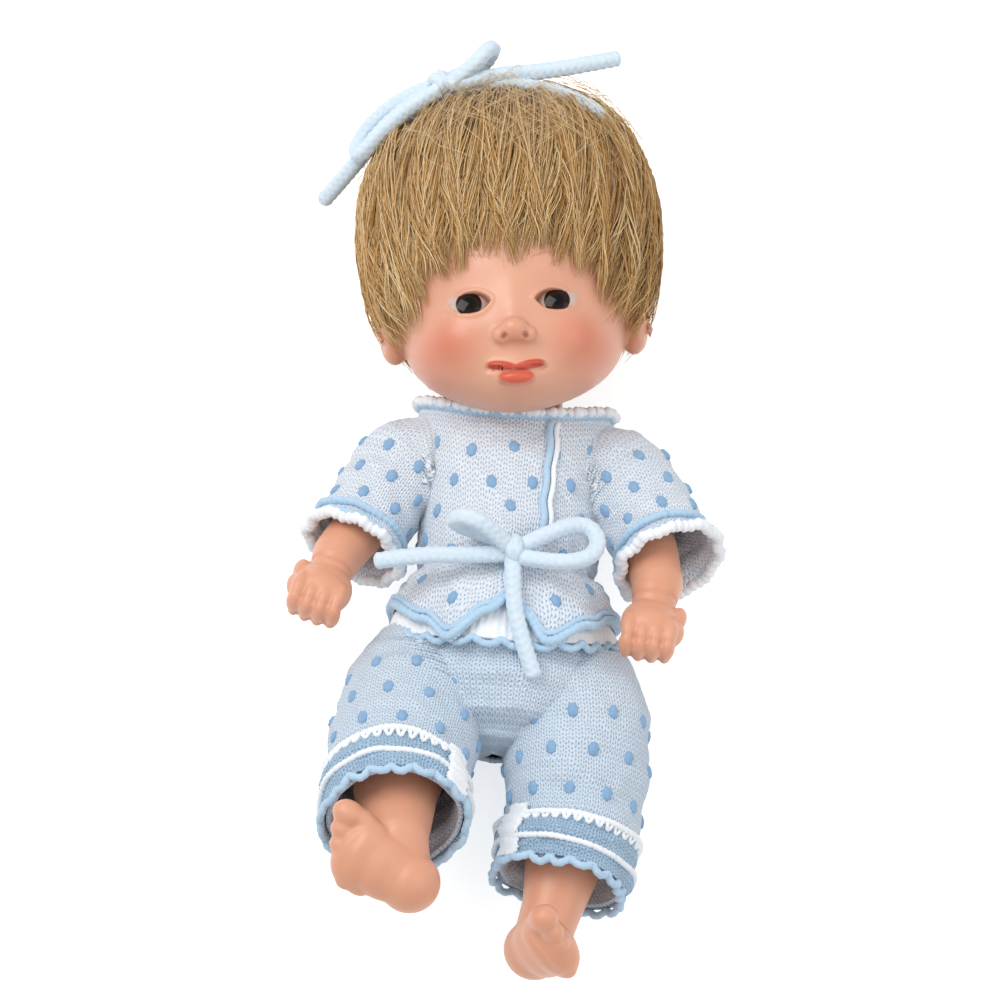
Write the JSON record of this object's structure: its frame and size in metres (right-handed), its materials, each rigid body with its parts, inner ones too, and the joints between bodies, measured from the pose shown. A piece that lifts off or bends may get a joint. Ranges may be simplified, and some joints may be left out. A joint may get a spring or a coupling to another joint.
{
  "type": "interactive baby doll",
  "caption": "Small vinyl baby doll with short blond hair, turning head and limbs, knitted pyjamas, corded headband and a voice module in its tummy.",
  "frame": {"origin": "on the surface that the doll lies on, which is the plane of the jacket back's flat underside, under the body's long axis and 2 mm above the shoulder joints along it", "axes": "+X to the doll's left, +Y towards the head, +Z out of the doll's front; it lies on its back on Z = 0"},
  "size_m": [0.0968, 0.2154, 0.0682],
  "materials": {
    "vinyl_skin": "satin",
    "body_plastic": "satin",
    "steel": "satin",
    "board_green": "satin",
    "black_plastic": "satin",
    "paper_cone": "matte",
    "button_plastic": "satin",
    "brass_plate": "satin",
    "eye_white": "gloss",
    "iris_black": "gloss",
    "blond_hair": "soft fibre",
    "blue_cord": "knitted cord",
    "white_knit": "knitted",
    "blue_knit": "knitted"
  },
  "bodies": {
    "torso": {"torso_back_shell": "body_plastic", "torso_front_shell": "body_plastic", "neck_knob": "body_plastic", "torso_screws": "steel", "battery_door": "body_plastic", "circuit_board": "board_green", "voice_chip": "black_plastic", "tact_switch": "black_plastic", "speaker_magnet": "steel", "speaker_frame": "black_plastic", "speaker_cone": "paper_cone", "button_spring": "black_plastic", "battery_cell_1": "steel", "battery_cell_2": "steel", "battery_cell_3": "steel", "battery_contacts": "brass_plate", "jacket_body": "white_knit", "jacket_front_band": "blue_knit", "jacket_collar": "white_knit", "waist_cord": "blue_cord", "trousers_waistband": "white_knit", "trousers_seat": "white_knit", "inner_hem": "white_knit", "waist_loop_right": "blue_cord", "waist_loop_left": "blue_cord", "waist_tail_left": "blue_cord", "waist_tail_down": "blue_cord", "waist_knot": "blue_cord"},
    "button": {"tummy_button": "button_plastic"},
    "switch": {"power_switch": "black_plastic"},
    "head": {"head_shell": "vinyl_skin", "left_eye": "eye_white", "left_iris": "iris_black", "right_eye": "eye_white", "right_iris": "iris_black", "hair_fringe": "blond_hair", "hair_rear": "blond_hair", "headband": "blue_cord", "headband_loop_left": "blue_cord", "headband_tail_left": "blue_cord", "headband_loop_right": "blue_cord", "headband_tail_right": "blue_cord", "headband_knot": "blue_cord"},
    "arm_left": {"left_arm": "vinyl_skin", "left_sleeve": "white_knit", "left_sleeve_cuff": "blue_knit"},
    "arm_right": {"right_arm": "vinyl_skin", "right_sleeve": "white_knit", "right_sleeve_cuff": "blue_knit"},
    "leg_left": {"left_leg": "vinyl_skin", "left_trouser_leg": "white_knit", "left_trouser_cuff": "blue_knit"},
    "leg_right": {"right_leg": "vinyl_skin", "right_trouser_leg": "white_knit", "right_trouser_cuff": "blue_knit"}
  },
  "joints": [
    {"name": "head_turn", "type": "hinge", "parent": "torso", "child": "head", "pos_m": [0, 0.019, 0.024], "axis": [0, 1, 0], "range_deg": [-35, 45]},
    {"name": "left_shoulder", "type": "hinge", "parent": "torso", "child": "arm_left", "pos_m": [0.02, -0.002, 0.021], "axis": [-1, 0, 0], "range_deg": [-4, 85]},
    {"name": "right_shoulder", "type": "hinge", "parent": "torso", "child": "arm_right", "pos_m": [-0.02, -0.002, 0.021], "axis": [-1, 0, 0], "range_deg": [-20, 76]},
    {"name": "left_hip", "type": "hinge", "parent": "torso", "child": "leg_left", "pos_m": [0.015, -0.05, 0.021], "axis": [-0.866, 0.5, 0], "range_deg": [-6, 45]},
    {"name": "right_hip", "type": "hinge", "parent": "torso", "child": "leg_right", "pos_m": [-0.015, -0.05, 0.021], "axis": [-0.866, -0.5, 0], "range_deg": [-36, 30]},
    {"name": "tummy_press", "type": "slide", "parent": "torso", "child": "button", "axis": [0, 0, -1], "range_m": [0, 0.0011], "stiffness_N_per_m": 300, "springref_m": -0.0004, "deforming": ["button_spring"]},
    {"name": "power_slide", "type": "slide", "parent": "torso", "child": "switch", "axis": [1, 0, 0], "range_m": [0, 0.0024]}
  ]
}
